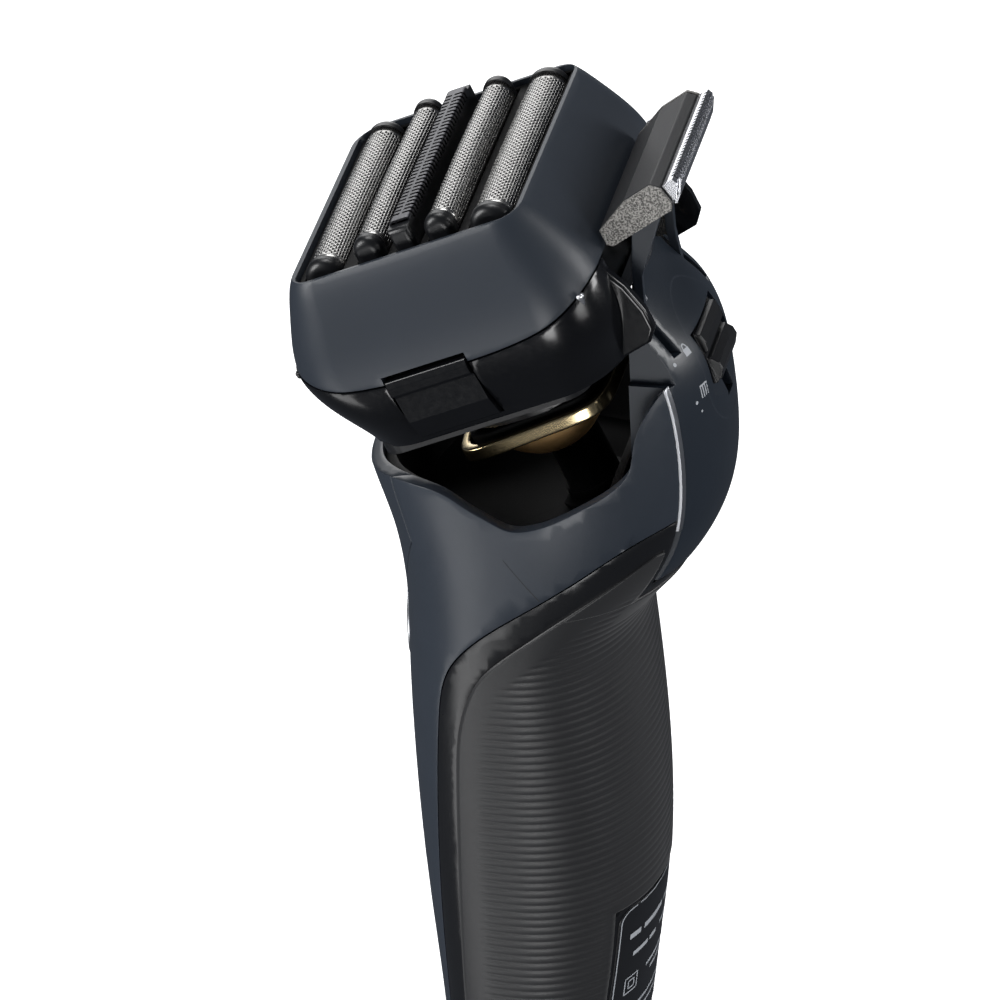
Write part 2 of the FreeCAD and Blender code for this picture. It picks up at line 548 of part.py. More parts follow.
def make_drive():
    """Sealed drive unit: tub, deck, linear motor, and the bridges that carry the inner blades."""
    tub = slab(TUB_X, -TUB_FRONT, TUB_REAR, 3.6, TUB_LOW, DECK_LOW)
    tub = tub.cut(slab(TUB_X - TUB_WALL, -TUB_FRONT - TUB_WALL, TUB_REAR - TUB_WALL, 2.4,
                       TUB_LOW + 1.6, DECK_LOW + 1))
    collar = oval_slab(12.4, 12.4, 2.8, 0.0, TUB_LOW).cut(oval_slab(10.8, 10.8, 2.8, -1.0, TUB_LOW))
    tub = tub.fuse(collar).cut(rod(4.9 + RUN, (0, 0, 0), (0, 0, 1), 12)).removeSplitter()
    node("drive_tub", to_head(tub))
    deck = slab(25.0, 21.4, 19.4, 4.8, DECK_LOW, DECK_TOP)
    rails = slab(22.4, 18.8, 17.0, 3.0, DECK_TOP, 24.6).cut(slab(20.8, 17.2, 15.4, 2.0, 20, 30))
    deck = deck.fuse(rails)
    for y in (-PIN_Y, PIN_Y):
        eye = slab(PIN_R + STROKE + 1.6, PIN_R + 1.6, PIN_R + 1.6, 2.8, 10, 30)
        deck = deck.cut(eye.translated(V(0, y, 0)))
    for side in (-1, 1):
        x0, x1 = sorted((side * 24.3, side * 32.0))
        deck = deck.cut(box(x0, x1, BUTTON_Y - BUTTON_HALF - FIT, BUTTON_Y + BUTTON_HALF + FIT,
                            BUTTON_LOW, BUTTON_HIGH + FIT))
    node("drive_deck", to_head(deck.removeSplitter()))
    seals = []
    for y in (-PIN_Y, PIN_Y):
        seal = slab(PIN_R + STROKE + 1.55, PIN_R + 1.55, PIN_R + 1.55, 2.75, DECK_LOW, DECK_TOP + 1.2)
        seal = seal.cut(slab(PIN_R + STROKE + FIT, PIN_R + FIT, PIN_R + FIT, 1.5, 10, 30))
        seals.append(to_head(seal.translated(V(0, y, 0))))
    node("pin_seals", *seals)
    core = box(-9.0, 9.0, -2.0, 2.0, 8.4, 11.0)
    core = core.fuse([box(x - 1.5, x + 1.5, -2.0, 2.0, TUB_LOW + 1.6, 8.4) for x in (-7.5, 7.5)])
    core = core.fuse([box(x - 1.5, x + 1.5, -2.0, 2.0, 11.0, 16.6) for x in (-7.5, 0.0, 7.5)])
    node("motor_core", to_head(core.removeSplitter()))
    coils = []
    for x in (-3.75, 3.75):
        coil = box(x - 2.1, x + 2.1, -3.4, 3.4, 11.3, 16.0).cut(box(x - 9, x + 9, -2.1, 2.1, 10, 17))
        coils.append(to_head(coil))
    node("motor_coils", *coils)
    for name, side in (("front", -1), ("rear", 1)):
        y = side * PIN_Y
        bar = box(-14.0, 14.0, y - 3.6, y + 3.6, 12.4, 17.4).cut(box(-11.0, 11.0, y - 4, y + 4, 11.0, 14.0))
        node("mover_" + name, to_head(bar))
        y0, y1 = sorted((side * 3.9, side * 17.0))
        plate = box(-14.0, 14.0, y0, y1, BRIDGE_LOW, BRIDGE_TOP)
        parts = [rod(PIN_R, (0, y, 17.4), (0, 0, 1), BRIDGE_LOW - 17.4)]
        for _, fy, _, _ in FOILS:
            if fy * side > 0:
                parts += [rod(0.8, (x, fy, BRIDGE_TOP), (0, 0, 1), 3.2) for x in (-8.0, 8.0)]
        node("drive_bridge_" + name, to_head(plate.fuse(parts).removeSplitter()))


def make_foils():
    """Foil units with their end caps, and the inner blades that run under them."""
    for name, y, r, top in FOILS:
        sheet = arch_x(y, r, top, FOIL_LEG, -FOIL_HALF, FOIL_HALF).cut(
            arch_x(y, r - SHEET, top - SHEET, FOIL_LEG + 1, -FOIL_HALF - 1, FOIL_HALF + 1))
        node(name, to_head(sheet))
        caps = []
        for side in (-1, 1):
            x0, x1 = sorted((side * FOIL_HALF, side * CAP_END))
            low = top - r - FOIL_LEG
            cap = arch_x(y, r, top + 0.1, FOIL_LEG + 1.4, x0, x1)
            cap = round_edges(cap, min(1.5, r * 0.6), lambda e: abs(abs(e.CenterOfMass.x) - CAP_END) < 0.3
                              and e.CenterOfMass.z > low + 2)
            caps.append(to_head(cap))
        node(name + "_caps", *caps)
        arch = r - SHEET - BLADE_GAP
        blade = arch_x(y, arch, top - SHEET - BLADE_GAP, top - SHEET - BLADE_GAP - arch - BLADE_BOTTOM,
                       -BLADE_HALF, BLADE_HALF)
        pitch = 1.55
        slots = [box(x, x + 0.95, y - 5, y + 5, top - r - 1.2, top + 1)
                 for x in [-BLADE_HALF + 0.6 + pitch * i for i in range(int((2 * BLADE_HALF - 1.2) / pitch))]]
        rib = box(-BLADE_HALF, BLADE_HALF, y - 0.7, y + 0.7, BLADE_BOTTOM, top - 1.9)
        blade = blade.cut(Part.makeCompound(slots)).fuse(rib)
        for x in (-8.0, 8.0):
            blade = blade.cut(rod(0.8 + RUN, (x, y, 0), (0, 0, 1), 34.4))
        node(name.replace("foil", "blade"), to_head(blade.removeSplitter()))


def make_comb():
    """Centre slit comb with caps and its own inner blade."""
    low = 34.6
    outer = box(-FOIL_HALF, FOIL_HALF, COMB_Y - COMB_HALF, COMB_Y + COMB_HALF, low, COMB_TOP)
    outer = round_edges(outer, 0.6, lambda e: e.BoundBox.XLength > 10 and e.BoundBox.ZMin > COMB_TOP - 0.1)
    wall = 0.35
    outer = outer.cut(box(-FOIL_HALF - 1, FOIL_HALF + 1, COMB_Y - COMB_HALF + wall, COMB_Y + COMB_HALF - wall,
                          low - 1, COMB_TOP - wall))
    pitch = 1.1
    count = int((2 * FOIL_HALF - 3) / pitch)
    slits = [box(-pitch * count / 2 + pitch * i - 0.25, -pitch * count / 2 + pitch * i + 0.25,
                 COMB_Y - 5, COMB_Y + 5, COMB_TOP - 1.3, COMB_TOP + 1) for i in range(count + 1)]
    spine = box(-FOIL_HALF, FOIL_HALF, COMB_Y - 0.2, COMB_Y + 0.2, COMB_TOP - wall, COMB_TOP)
    node("centre_comb", to_head(outer.cut(Part.makeCompound(slits)).fuse(spine).removeSplitter()))
    caps = []
    for side in (-1, 1):
        x0, x1 = sorted((side * FOIL_HALF, side * CAP_END))
        cap = box(x0, x1, COMB_Y - COMB_HALF, COMB_Y + COMB_HALF, low - 1.2, COMB_TOP - 0.6)
        cap = round_edges(cap, 0.9, lambda e: abs(abs(e.CenterOfMass.x) - CAP_END) < 0.01
                          and e.CenterOfMass.z > low + 1)
        caps.append(to_head(cap))
    node("centre_comb_caps", *caps)
    half = COMB_HALF - wall - BLADE_GAP
    inner = box(-BLADE_HALF, BLADE_HALF, COMB_Y - half, COMB_Y + half, low + 1.0, COMB_TOP - wall - BLADE_GAP)
    teeth = [box(x, x + 0.6, -5, 5, COMB_TOP - 2.4, COMB_TOP + 1)
             for x in [-BLADE_HALF + 0.5 + pitch * i for i in range(int((2 * BLADE_HALF - 1) / pitch))]]
    node("comb_inner_blade", to_head(inner.cut(Part.makeCompound(teeth))))


def make_cassette():
    """Frame that carries the five elements, one window each."""
    frame = slab(OPEN_X - SEAM, OPEN_Y - SEAM, OPEN_Y - SEAM, 2.4, FRAME_LOW, FRAME_TOP)
    gap = 0.12
    for _, y, r, _ in FOILS:
        frame = frame.cut(box(-CAP_END - gap, CAP_END + gap, y - r - gap, y + r + gap, 20, 50))
    half = COMB_HALF + gap
    frame = frame.cut(box(-CAP_END - gap, CAP_END + gap, COMB_Y - half, COMB_Y + half, 20, 50))
    node("foil_cassette_frame", to_head(frame))


def trimmer_outline():
    """Side outline of the raised trimmer: Y, Z."""
    return [(16.9, 160.0), (18.0, 157.6), (19.0, 157.5), (28.0, 164.3), (28.0, 165.4), (26.4, 167.7),
            (24.6, 168.1), (20.6, 165.0)]


def make_trimmer():
    """Pop-up trimmer, drawn raised: body, end plates, fixed comb blade, cutter and the arms that carry it."""
    outline = trimmer_outline()
    node("trimmer_housing", polygon_x(outline, -TRIM_HALF, TRIM_HALF))
    plate = polygon_x(outline, TRIM_HALF, TRIM_HALF + TRIM_PLATE)
    node("trimmer_end_plates", plate, mirrored(plate))
    outline = [(26.5, 167.75), (28.05, 165.5), (28.5, 165.9), (28.75, 168.4), (28.0, 169.0), (27.2, 168.5)]
    comb = polygon_x(outline, -TRIM_HALF + 0.4, TRIM_HALF - 0.4)
    pitch = 0.9
    count = int((2 * TRIM_HALF - 2.0) / pitch)
    starts = [-pitch * count / 2 + pitch * i for i in range(count)]
    gaps = [box(x, x + 0.5, 27.6, 36, 167.3, 176) for x in starts]
    node("trimmer_comb_blade", comb.cut(Part.makeCompound(gaps)))
    outline = [(28.1, 164.4), (28.45, 164.4), (28.95, 165.9), (29.2, 168.5), (28.87, 168.6),
               (28.62, 165.85), (28.1, 165.35)]
    cutter = polygon_x(outline, -TRIM_HALF + 1.6, TRIM_HALF - 1.6)
    notches = [box(x, x + 0.5, 27.6, 36, 167.3, 176) for x in starts if abs(x + 0.25) < TRIM_HALF - 2.2]
    node("trimmer_cutter", cutter.cut(Part.makeCompound(notches)))
    outline = [(21.2, 159.13), (25.8, 162.6), (25.4, 160.5), (22.5, 151.0), (22.7, 146.0), (24.2, 138.0),
               (22.9, 138.0), (21.3, 146.0), (20.9, 152.0)]
    arm = polygon_x(outline, ARM_IN, ARM_OUT)
    node("trimmer_arms", arm, mirrored(arm))


for build in (make_shells, make_rear_panel, make_controls, make_base, make_electrics, make_neck_well,
              make_gimbal, make_neck_trim, make_cover, make_skirt, make_release_buttons, make_drive,
              make_foils, make_comb, make_cassette, make_trimmer):
    build()

for name, solids in NODES.items():
    shape = solids[0] if len(solids) == 1 else Part.makeCompound(solids)
    if not solids or not all(s.isValid() for s in solids):
        print("check", name, len(solids), [s.isValid() for s in solids])
    shape.exportStep("parts/" + name + ".step")
print(len(NODES), "nodes", {n: len(s) for n, s in NODES.items() if len(s) > 1})
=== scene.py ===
# %% [markdown]
# # A cordless foil shaver, finished in Blender
# The frame below is the engineering model: every named sub-part sits where it is on the real shaver.
# This lesson gives each one its real finish, and replaces the few whose surface is finer than the
# engineering model draws: the perforated foils and the ribbed rubber grip.

# %% Load the frame
import bpy
import math
import numpy as np
from mathutils import Matrix, Vector


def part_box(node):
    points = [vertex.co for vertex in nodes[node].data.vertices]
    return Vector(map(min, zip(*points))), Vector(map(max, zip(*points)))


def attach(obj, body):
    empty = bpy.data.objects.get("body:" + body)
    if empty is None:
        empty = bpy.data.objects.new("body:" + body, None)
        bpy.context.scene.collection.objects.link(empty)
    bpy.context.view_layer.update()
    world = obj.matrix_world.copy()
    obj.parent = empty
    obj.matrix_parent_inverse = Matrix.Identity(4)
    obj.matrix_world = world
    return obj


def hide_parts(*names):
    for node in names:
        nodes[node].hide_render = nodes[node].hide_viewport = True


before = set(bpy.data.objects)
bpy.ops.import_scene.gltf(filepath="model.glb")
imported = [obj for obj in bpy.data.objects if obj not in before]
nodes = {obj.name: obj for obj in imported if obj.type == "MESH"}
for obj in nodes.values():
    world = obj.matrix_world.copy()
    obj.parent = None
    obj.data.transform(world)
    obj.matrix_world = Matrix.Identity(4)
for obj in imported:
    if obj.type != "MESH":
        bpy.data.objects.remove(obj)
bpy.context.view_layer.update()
MM = 0.001

# %% [markdown]
# ## Colours and nodes
# Makers quote colours as sRGB hex values, but shaders work in linear light, so one function converts.
# Every shader node goes through one helper, which takes plain settings, socket values and links alike.

# %% Colour and node helpers


def linear(hex_colour):
    """sRGB hex to linear RGBA: a straight line below 0.04045, a 2.4 power curve above it."""
    srgb = np.array([int(hex_colour[i:i + 2], 16) for i in (0, 2, 4)]) / 255
    light = np.where(srgb <= 0.04045, srgb / 12.92, ((srgb + 0.055) / 1.055) ** 2.4)
    return (*light.tolist(), 1.0)


def add(tree, kind, sockets=None, **settings):
    """One node with its settings; a socket is given a plain value, or an output to link from."""
    node = tree.nodes.new(kind)
    for name, value in settings.items():
        setattr(node, name, value)
    for name, value in (sockets or {}).items():
        if isinstance(value, bpy.types.NodeSocket):
            tree.links.new(value, node.inputs[name])
        else:
            node.inputs[name].default_value = value
    return node


# %% [markdown]
# ## Finishes
# Most of this object is moulded plastic, painted or bare. What tells them apart is the grain left by
# the mould or the paint, and how sharply they reflect, so one function takes a base colour, a grain
# size and depth in millimetres, slow changes in colour and gloss, and the shader's own settings.

# %% A finish with grain


def finish(name, hex_colour, roughness, grain=0.0, depth=0.0, cloud=None, cloud_mm=6.0, rough_spread=0.0,
           stretch=(1, 1, 1), **shader):
    """Principled finish. Grain is noise of that many mm, as bump; cloud mixes in a second colour slowly."""
    material = bpy.data.materials.new(name)
    material.use_nodes = True
    tree = material.node_tree
    principled = tree.nodes["Principled BSDF"]
    principled.inputs["Base Color"].default_value = linear(hex_colour)
    principled.inputs["Roughness"].default_value = roughness
    for socket, value in shader.items():
        principled.inputs[socket.replace("_", " ")].default_value = value
    place = add(tree, "ShaderNodeTexCoord").outputs["Object"]
    place = add(tree, "ShaderNodeMapping", {"Vector": place, "Scale": stretch}).outputs["Vector"]
    if cloud:
        slow = add(tree, "ShaderNodeTexNoise", {"Vector": place, "Scale": 1 / (cloud_mm * MM), "Detail": 3.0})
        mixed = add(tree, "ShaderNodeMix", {"Factor": slow.outputs["Fac"], "A": linear(hex_colour),
                                            "B": linear(cloud)}, data_type="RGBA")
        tree.links.new(mixed.outputs["Result"], principled.inputs["Base Color"])
    if grain:
        fine = add(tree, "ShaderNodeTexNoise", {"Vector": place, "Scale": 1 / (grain * MM), "Detail": 2.0})
        if depth:
            bump = add(tree, "ShaderNodeBump", {"Height": fine.outputs["Fac"], "Strength": 1.0,
                                                "Distance": depth * MM})
            tree.links.new(bump.outputs["Normal"], principled.inputs["Normal"])
        if rough_spread:
            spread = add(tree, "ShaderNodeMapRange",
                         {"Value": fine.outputs["Fac"], "To Min": roughness - rough_spread,
                          "To Max": roughness + rough_spread})
            tree.links.new(spread.outputs["Result"], principled.inputs["Roughness"])
    return material


# %% [markdown]
# ### The plastics
# The covers are ABS in a soft-touch blue-black lacquer: fine powdery grain, wide soft highlights.
# The frame under the head is bare black ABS straight from a polished mould, with faint flow marks.

# %% Plastics
lacquer = finish("soft-touch lacquer on ABS, blue-black", "2b313a", 0.44, grain=0.16, depth=0.006,
                 cloud="272d35", cloud_mm=9.0, rough_spread=0.05)
lacquer_light = finish("satin lacquer on ABS, slate", "2f353e", 0.40, grain=0.2, depth=0.008,
                       cloud="2a3038", cloud_mm=7.0, rough_spread=0.06)
polished_abs = finish("polished black ABS", "0b0c0e", 0.2, grain=0.9, depth=0.004, rough_spread=0.05,
                      cloud="0e0f12", cloud_mm=5.0)
moulded_abs = finish("moulded black ABS, fine texture", "0f1012", 0.36, grain=0.22, depth=0.012,
                     rough_spread=0.06, cloud="131417", cloud_mm=4.0)
rim_abs = finish("satin black ABS, grip surround", "131416", 0.3, grain=0.3, depth=0.003, cloud="16171a",
                 rough_spread=0.05)
matt_nylon = finish("matt black nylon", "141517", 0.55, grain=0.25, depth=0.02, cloud="191a1d",
                    rough_spread=0.07)
panel_lacquer = finish("satin lacquer on ABS, panel", "20262e", 0.34, grain=0.3, depth=0.002,
                       rough_spread=0.04, cloud="242b34", cloud_mm=8.0)
smoked_acrylic = finish("smoked acrylic", "08090a", 0.07, grain=2.0, rough_spread=0.02, IOR=1.49,
                        Coat_Weight=0.6, Coat_Roughness=0.04)
printed_ink = finish("pad-printed ink, light grey", "b9bdc2", 0.5, grain=0.12, rough_spread=0.08,
                     cloud="a9adb3", cloud_mm=0.6)
label_film = finish("polyester label film, black", "17181a", 0.34, grain=0.3, depth=0.004,
                    rough_spread=0.05, cloud="1c1d20", cloud_mm=3.0)
seal_rubber = finish("silicone seal", "1f2022", 0.6, grain=0.3, depth=0.02, rough_spread=0.06)
grip_rubber = finish("thermoplastic rubber, black", "1a1a1c", 0.46, grain=0.14, depth=0.012,
                     cloud="222325", cloud_mm=6.0, rough_spread=0.08, Sheen_Weight=0.12)
white_plastic = finish("white acetal", "d9dadb", 0.4, grain=0.4, depth=0.01, rough_spread=0.05)

# The bowl round the neck, its post, the frame between the foils and the collar under the ring take a
# near-black darker than the nylon: painted shade in these recesses.
painted_shade_black = finish("matt black bowl, darkened as painted shade", "060607", 0.6, grain=0.25, depth=0.01, rough_spread=0.06,
                    Specular_IOR_Level=0.12)
trimmer_black = finish("textured black ABS, trimmer", "0c0d10", 0.5, grain=0.2, depth=0.006, cloud="111216",
                       cloud_mm=3.0, rough_spread=0.06)

# %% [markdown]
# ### The metals
# A metal's colour is its reflection, so the base colour is its tint and the roughness its surface.
# The ring is vacuum-metallised and polished, the rocker below it is bead-blasted, and the foils are
# electroformed nickel, which is bright, with a faint lengthwise drawing grain from polishing.

# %% Metals
ring_gold = finish("polished pale gold plate", "dfcba2", 0.22, grain=0.5, depth=0.0004, Metallic=1.0,
                   rough_spread=0.03, cloud="cdb98d", cloud_mm=5.0)
rocker_gold = finish("bead-blasted gold anodise", "e0b884", 0.5, grain=0.18, depth=0.004, Metallic=1.0,
                     rough_spread=0.07, cloud="a58251", cloud_mm=3.0)
foil_nickel = finish("electroformed nickel foil", "a3a2a0", 0.27, grain=0.3, depth=0.0006, Metallic=1.0,
                     rough_spread=0.04, stretch=(0.15, 1, 1))
comb_steel = finish("blackened steel comb", "4c4c50", 0.34, grain=0.2, depth=0.001, Metallic=1.0,
                    rough_spread=0.06, stretch=(0.2, 1, 1))
# The blades are darkened nearly to black as painted shade, so the holes in the foils above them read dark.
blade_steel_painted_shade = finish("blade steel, darkened as painted shade", "26272a", 0.4, grain=0.15, depth=0.001, Metallic=1.0,
                     rough_spread=0.06, stretch=(1, 0.1, 1))
trimmer_steel = finish("ground and lapped trimmer steel", "dfe0e4", 0.26, grain=0.15, depth=0.0006,
                       Metallic=1.0, rough_spread=0.05, stretch=(0.1, 1, 1))
bright_chrome = finish("satin chrome plate on ABS", "c9cbcf", 0.3, grain=0.6, depth=0.0004, Metallic=1.0,
                       rough_spread=0.03)
dark_steel = finish("blackened steel screw", "3a3b3e", 0.35, grain=0.2, depth=0.006, Metallic=1.0,
                    rough_spread=0.06)
brass = finish("nickel-flashed brass contact", "c8a45a", 0.28, grain=0.2, depth=0.003, Metallic=1.0,
               rough_spread=0.05)
copper = finish("enamelled copper wire", "a3562f", 0.35, grain=0.2, depth=0.01, Metallic=1.0,
                rough_spread=0.06)
board_green = finish("solder mask on glass epoxy", "1d4a33", 0.35, grain=0.6, depth=0.006,
                     rough_spread=0.05)
cell_wrap = finish("printed PVC cell sleeve", "2b5f86", 0.32, grain=0.8, depth=0.004, rough_spread=0.05)

# %% [markdown]
# The trimmer's end plates are die-cast and tumbled, which leaves a coarse sparkling grain of light and
# dark specks about a quarter of a millimetre across.

# %% Cast end plate


def cast_plate():
    """Grey metal whose specks come from a noise cut in two by a steep ramp, also used as bump."""
    material = finish("tumbled die-cast zinc", "6f6e6c", 0.5, Metallic=0.55)
    tree = material.node_tree
    principled = tree.nodes["Principled BSDF"]
    place = add(tree, "ShaderNodeTexCoord").outputs["Object"]
    speck = add(tree, "ShaderNodeTexNoise", {"Vector": place, "Scale": 1 / (0.26 * MM), "Detail": 2.5})
    ramp = add(tree, "ShaderNodeMapRange", {"Value": speck.outputs["Fac"], "From Min": 0.4, "From Max": 0.62})
    mixed = add(tree, "ShaderNodeMix", {"Factor": ramp.outputs["Result"], "A": linear("4c4b49"),
                                        "B": linear("a09e9a")}, data_type="RGBA")
    tree.links.new(mixed.outputs["Result"], principled.inputs["Base Color"])
    bump = add(tree, "ShaderNodeBump", {"Height": speck.outputs["Fac"], "Distance": 0.05 * MM})
    tree.links.new(bump.outputs["Normal"], principled.inputs["Normal"])
    return material


end_plate_zinc = cast_plate()
print(len(bpy.data.materials), "materials in the file")

# %% [markdown]
# ## Which sub-part gets which finish
# The table reads from the base up. Rounded edges matter as much as colour: a moulding has no truly
# sharp edge, and the thin bright line a rounded one catches is what makes it look real. So each
# sub-part also gets a bevel, in millimetres, on its sharp edges.

# %% Give the engineering parts their finish
FINISHES = {
    "front_shell": (lacquer_light, 0.25), "front_lip": (lacquer, 0.3), "rear_shell": (rim_abs, 0.25),
    "rating_plate": (label_film, 0.05), "back_panel": (panel_lacquer, 0.25),
    "panel_trim_strips": (bright_chrome, 0.12), "button_bezel": (bright_chrome, 0.15),
    "display_window": (smoked_acrylic, 0.12), "base_cap": (moulded_abs, 0.3),
    "base_screws": (dark_steel, 0.1),
    "charge_socket": (matt_nylon, 0.2), "charge_pins": (brass, 0.15), "chassis": (matt_nylon, 0.2),
    # The neck's bowl and post are near-black, painted shade.
    "battery_cell": (cell_wrap, 0.3), "main_board": (board_green, 0.0), "neck_well": (painted_shade_black, 0.3),
    "neck_post": (painted_shade_black, 0.2), "power_button": (panel_lacquer, 0.0), "mode_slider": (moulded_abs, 0.22),
    "trimmer_housing": (trimmer_black, 0.35), "trimmer_end_plates": (end_plate_zinc, 0.08),
    "trimmer_comb_blade": (trimmer_steel, 0.0), "trimmer_cutter": (trimmer_steel, 0.0),
    "trimmer_arms": (lacquer_light, 0.15), "gimbal_block": (dark_steel, 0.2),
    "pitch_pins": (bright_chrome, 0.1),
    "roll_pins": (bright_chrome, 0.1), "twist_hub": (matt_nylon, 0.2), "drive_tub": (moulded_abs, 0.3),
    "drive_deck": (matt_nylon, 0.2), "pin_seals": (seal_rubber, 0.1), "motor_core": (dark_steel, 0.1),
    "motor_coils": (copper, 0.3), "head_skirt": (polished_abs, 0.3), "neck_ring": (ring_gold, 0.0),
    "neck_rocker": (rocker_gold, 0.0), "release_button_right": (polished_abs, 0.0),
    "release_button_left": (polished_abs, 0.0), "mover_front": (dark_steel, 0.2),
    "mover_rear": (dark_steel, 0.2),
    "drive_bridge_front": (white_plastic, 0.2), "drive_bridge_rear": (white_plastic, 0.2),
    # The frame between the foils is near-black, painted shade.
    "foil_frame_cover": (lacquer, 0.35), "foil_cassette_frame": (painted_shade_black, 0.25),
    "centre_comb": (comb_steel, 0.0), "centre_comb_caps": (moulded_abs, 0.15),
    # The blades below take steel darkened as painted shade.
    "comb_inner_blade": (blade_steel_painted_shade, 0.0), "grip_rubber": (grip_rubber, 0.0),
}
for foil in ("finish_foil_front", "narrow_foil_front", "narrow_foil_rear", "wide_foil_rear"):
    FINISHES[foil] = (foil_nickel, 0.0)
    FINISHES[foil + "_caps"] = (moulded_abs, 0.0)
    FINISHES[foil.replace("foil", "blade")] = (blade_steel_painted_shade, 0.0)


def dress(name, material, bevel_mm):
    """Finish on every slot; then weld, and bevel the edges that turn by more than 38 degrees."""
    part = nodes[name]
    part.data.materials.clear()
    part.data.materials.append(material)
    if bevel_mm:
        weld = part.modifiers.new("Weld", "WELD")
        weld.merge_threshold = 0.002 * MM
        bevel = part.modifiers.new("Bevel", "BEVEL")
        bevel.width = bevel_mm * MM
        bevel.segments = 2
        bevel.limit_method = "ANGLE"
        bevel.angle_limit = math.radians(38)
        bevel.use_clamp_overlap = True
        bevel.harden_normals = True


for name, (material, bevel_mm) in FINISHES.items():
    dress(name, material, bevel_mm)
print("undressed:", sorted(set(nodes) - set(FINISHES)))

# %% [markdown]
# ## Building surfaces
# New pieces are worked out with numpy in millimetres, as whole arrays, and handed to Blender once.
# The head's own axes are tipped forward at the neck, so one function carries head points to the frame.

# %% Surface helpers
NECK = (3.8, 125.0)          # Y and Z of the neck
TILT = math.radians(23.5)


def head(points):
    """Head axes to shaver axes: turned about X by the tilt, then moved to the neck."""
    x, y, z = np.moveaxis(np.asarray(points, float), -1, 0)
    c, s = math.cos(TILT), math.sin(TILT)
    return np.stack([x, NECK[0] + c * y - s * z, NECK[1] + s * y + c * z], -1)


def piece(name, points, faces, material, body, smooth=True):
    """A mesh from points in mm and lists of corners, dressed and riding on its body."""
    mesh = bpy.data.meshes.new(name)
    mesh.from_pydata((np.reshape(points, (-1, 3)) * MM).tolist(), [], faces)
    mesh.validate()
    if smooth:
        mesh.shade_smooth()
    mesh.materials.append(material)
    made = bpy.data.objects.new(name, mesh)
    bpy.context.scene.collection.objects.link(made)
    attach(made, body)
    return made


def grid_faces(rows, columns, offset=0):
    """Quads of a grid, row by row, counted from offset."""
    i, j = np.meshgrid(np.arange(rows - 1), np.arange(columns - 1), indexing="ij")
    a = offset + i * columns + j
    return np.stack([a, a + 1, a + columns + 1, a + columns], -1).reshape(-1, 4)


def thicken(made, mm, inward=-1.0):
    """Gives a sheet a wall."""
    wall = made.modifiers.new("Wall", "SOLIDIFY")
    wall.thickness = mm * MM
    wall.offset = inward
    return made


# %% [markdown]
# ## The foils
# Each foil is a nickel sheet a tenth of a millimetre thick, bent into an arch along the head and bowed
# slightly along its length. Its front part is cut with slanting slits that catch flat-lying hair,
# the rest with small oval holes. A picture of holes would look painted, so the sheet is laid out flat
# as tiles, each a ring of eight quads round an opening, and every second row is shifted by half a tile.

# %% Perforated sheet
FOILS = {  # Y of the crest on the head, radius, height of the crest, in mm
    "finish_foil_front": (-14.2, 3.1, 39.2), "narrow_foil_front": (-5.9, 2.35, 40.5),
    "narrow_foil_rear": (6.1, 2.35, 40.5), "wide_foil_rear": (13.9, 3.4, 39.3),
}
FOIL_HALF = 20.0
LEG = 3.2                    # straight part below the arch
BOW = 0.3                    # drop of the foil's ends below its middle
SLIT = (0.44, 0.13, math.radians(40))    # half length, half width and slant of the front part's slits
HOLE = (0.29, 0.155, 0.0)                # and of the other holes


def tile_rings():
    """Corners and edge middles of a unit tile, anticlockwise."""
    return np.array([(0, 0), (.5, 0), (1, 0), (1, .5), (1, 1), (.5, 1), (0, 1), (0, .5)], float)


def opening(angles, long, short, turn):
    """Radius of a turned ellipse in each direction: long*short over the root of the squared products."""
    return long * short / np.sqrt((short * np.cos(angles - turn)) ** 2 + (long * np.sin(angles - turn)) ** 2)


